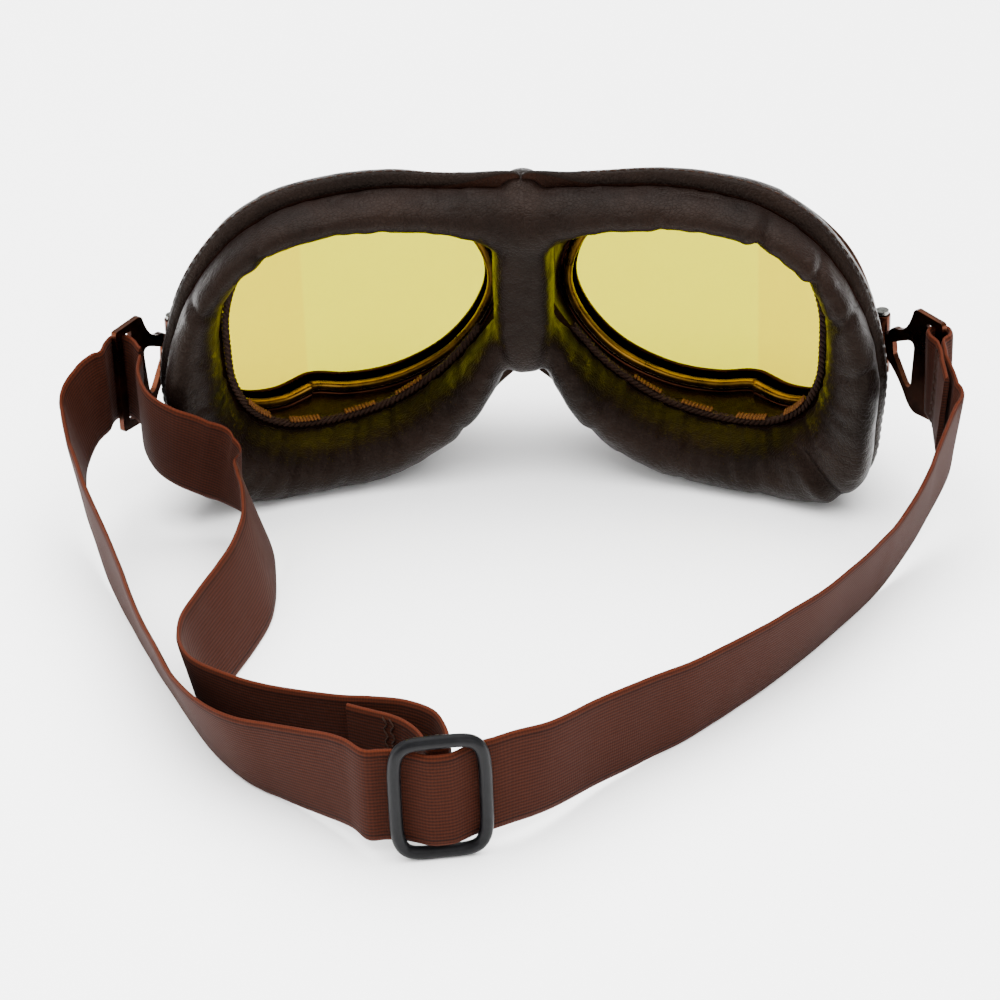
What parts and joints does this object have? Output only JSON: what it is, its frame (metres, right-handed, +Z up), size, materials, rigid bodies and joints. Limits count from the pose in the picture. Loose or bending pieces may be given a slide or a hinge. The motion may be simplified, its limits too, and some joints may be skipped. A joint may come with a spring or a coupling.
{
  "type": "motorcycle goggles",
  "caption": "Vintage flying-style riding goggles: padded leather mask, bent yellow lenses in hinged copper frames, swinging strap brackets, elastic strap with slider.",
  "frame": {"origin": "middle of the plan box on the surface the goggles lie on", "axes": "+Z up, +Y the way the wearer looks, +X the wearer's right"},
  "size_m": [0.2356, 0.2234, 0.086],
  "materials": {
    "leather": "soft grained artificial leather",
    "yellow_lens": "clear yellow tint, polished",
    "black_rubber": "matt",
    "aged_brass": "aged satin",
    "copper_plate": "dark copper plating, satin",
    "bare_steel": "satin",
    "black_plastic": "satin",
    "elastic_webbing": "woven elastic band"
  },
  "bodies": {
    "frame_left": {"frame_left": "copper_plate", "clamp_ring_left": "aged_brass", "lens_gasket_left": "black_rubber", "lens_left": "yellow_lens", "face_pad_left": "leather", "side_wall_left": "leather", "nose_piece": "leather", "nose_leaf_left": "bare_steel", "nose_pin": "bare_steel", "nose_rivet_left_lower": "bare_steel", "nose_rivet_left_upper": "bare_steel", "temple_lug_left": "copper_plate", "temple_pin_left": "bare_steel", "strap_left_fall": "elastic_webbing", "strap_left_run": "elastic_webbing", "strap_right_run": "elastic_webbing", "strap_inner_fall": "elastic_webbing", "strap_inner_run": "elastic_webbing"},
    "frame_right": {"frame_right": "copper_plate", "clamp_ring_right": "aged_brass", "lens_gasket_right": "black_rubber", "lens_right": "yellow_lens", "face_pad_right": "leather", "side_wall_right": "leather", "nose_leaf_right": "bare_steel", "nose_rivet_right_lower": "bare_steel", "nose_rivet_right_upper": "bare_steel", "temple_lug_right": "copper_plate", "temple_pin_right": "bare_steel", "strap_right_fall": "elastic_webbing"},
    "bracket_left": {"strap_bracket_left": "copper_plate", "strap_left_turn": "elastic_webbing"},
    "bracket_right": {"strap_bracket_right": "copper_plate", "strap_right_loop": "elastic_webbing"},
    "slider": {"slider": "black_plastic", "strap_slider_arch": "elastic_webbing", "strap_slider_loop": "elastic_webbing"}
  },
  "joints": [
    {"name": "nose_hinge", "type": "hinge", "parent": "frame_left", "child": "frame_right", "pos_m": [0.00277, 0.10458, 0.0435], "axis": [0, 0, 1], "range_deg": [-12, 12], "deforming": ["nose_piece", "strap_right_run", "strap_right_fall"]},
    {"name": "left_bracket_hinge", "type": "hinge", "parent": "frame_left", "child": "bracket_left", "pos_m": [-0.09231, 0.07801, 0.0352], "axis": [0, 0, 1], "range_deg": [-20, 20], "deforming": ["strap_left_turn", "strap_left_fall", "strap_inner_fall"]},
    {"name": "right_bracket_hinge", "type": "hinge", "parent": "frame_right", "child": "bracket_right", "pos_m": [0.09785, 0.07801, 0.0352], "axis": [0, 0, 1], "range_deg": [-28, 30], "deforming": ["strap_right_loop"]},
    {"name": "slider_travel", "type": "slide", "parent": "frame_left", "child": "slider", "axis": [0.9848, 0.1736, 0], "range_m": [-0.008, 0.008], "deforming": ["strap_left_run", "strap_inner_run", "strap_slider_arch", "strap_slider_loop"]}
  ]
}
